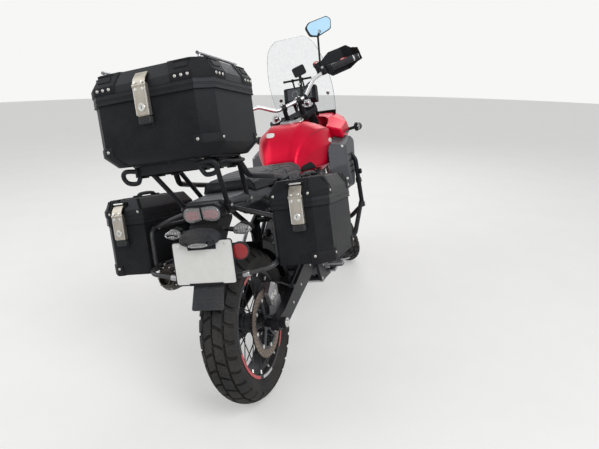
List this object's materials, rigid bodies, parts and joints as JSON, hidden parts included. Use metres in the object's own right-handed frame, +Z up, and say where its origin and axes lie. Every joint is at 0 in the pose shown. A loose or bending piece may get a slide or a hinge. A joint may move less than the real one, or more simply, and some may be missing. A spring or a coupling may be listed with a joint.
{
  "type": "adventure motorcycle",
  "caption": "Adventure touring motorcycle with wire wheels, tall screen, guards and hard aluminium luggage cases, leaning on its side stand with the bar turned.",
  "frame": {"origin": "centre of the underside of the bounding box, on the ground", "axes": "+Z up, the machine faces -Y and its left side is towards +X; it leans to +X on its side stand"},
  "size_m": [1.0298, 2.1996, 1.5825],
  "materials": {
    "paint_red": "gloss",
    "frame_black": "satin",
    "engine_metal": "satin",
    "tyre_rubber": "matte",
    "wheel_black": "satin",
    "case_black": "satin",
    "plastic_black": "matte",
    "plastic_grey": "satin",
    "steel": "satin",
    "silver": "satin",
    "fork_metal": "satin",
    "seat_cover": "matte",
    "lamp_clear": "gloss",
    "lamp_red": "gloss",
    "screen": "gloss",
    "plate_white": "satin",
    "mirror_black": "matte"
  },
  "bodies": {
    "chassis": {"frame": "frame_black", "engine": "engine_metal", "radiator": "frame_black", "skid_plate": "steel", "exhaust": "steel", "swingarm": "frame_black", "rear_shock": "fork_metal", "rear_caliper": "fork_metal", "rear_hoses": "plastic_black", "rear_mudguards": "plastic_black", "number_plate": "plate_white", "fuel_tank": "paint_red", "rider_seat": "seat_cover", "pillion_seat": "seat_cover", "side_panels": "plastic_grey", "tank_shrouds": "plastic_grey", "front_cowl": "paint_red", "headlamps": "lamp_clear", "windscreen": "screen", "dash": "plastic_black", "indicators": "lamp_clear", "crash_bars": "frame_black", "foot_controls": "silver", "top_case_body": "case_black", "left_case_body": "case_black", "right_case_body": "case_black", "luggage_rack": "frame_black", "case_hoops": "frame_black", "tail_lamp": "lamp_red"},
    "steering": {"fork": "fork_metal", "handlebar": "silver", "controls": "fork_metal", "hand_guards": "plastic_black", "mirrors": "mirror_black", "front_fender": "paint_red", "front_calipers": "fork_metal", "front_hoses": "plastic_black"},
    "front_wheel_set": {"front_tyre": "tyre_rubber", "front_wheel": "wheel_black"},
    "rear_wheel_set": {"rear_tyre": "tyre_rubber", "rear_wheel": "wheel_black"},
    "stand": {"side_stand": "frame_black"},
    "top_lid": {"top_case_lid": "case_black"},
    "left_lid": {"left_case_lid": "case_black"},
    "right_lid": {"right_case_lid": "case_black"}
  },
  "joints": [
    {"name": "steering_turn", "type": "hinge", "parent": "chassis", "child": "steering", "pos_m": [-0.00677, -0.47998, 0.85104], "axis": [0.1661, 0.4629, 0.8707], "range_deg": [-70, 0]},
    {"name": "front_wheel_spin", "type": "hinge", "parent": "steering", "child": "front_wheel_set", "pos_m": [-0.08566, -0.80758, 0.30522], "axis": [0.7549, 0.5084, -0.4143], "continuous": true},
    {"name": "rear_wheel_spin", "type": "hinge", "parent": "chassis", "child": "rear_wheel_set", "pos_m": [-0.10848, 0.72551, 0.31785], "axis": [0.9823, 0, -0.1874], "continuous": true},
    {"name": "side_stand_fold", "type": "hinge", "parent": "chassis", "child": "stand", "pos_m": [0.05368, -0.10393, 0.2073], "axis": [0.9694, -0.0032, 0.2453], "range_deg": [0, 92]},
    {"name": "top_case_lid_hinge", "type": "hinge", "parent": "chassis", "child": "top_lid", "pos_m": [0.05928, 0.6895, 1.19731], "axis": [0.9823, 0, -0.1874], "range_deg": [0, 95]},
    {"name": "left_case_lid_hinge", "type": "hinge", "parent": "chassis", "child": "left_lid", "pos_m": [0.33397, 0.4939, 0.68405], "axis": [0.9823, 0, -0.1874], "range_deg": [0, 95]},
    {"name": "right_case_lid_hinge", "type": "hinge", "parent": "chassis", "child": "right_lid", "pos_m": [-0.38506, 0.4939, 0.82121], "axis": [0.9823, 0, -0.1874], "range_deg": [0, 95]}
  ]
}
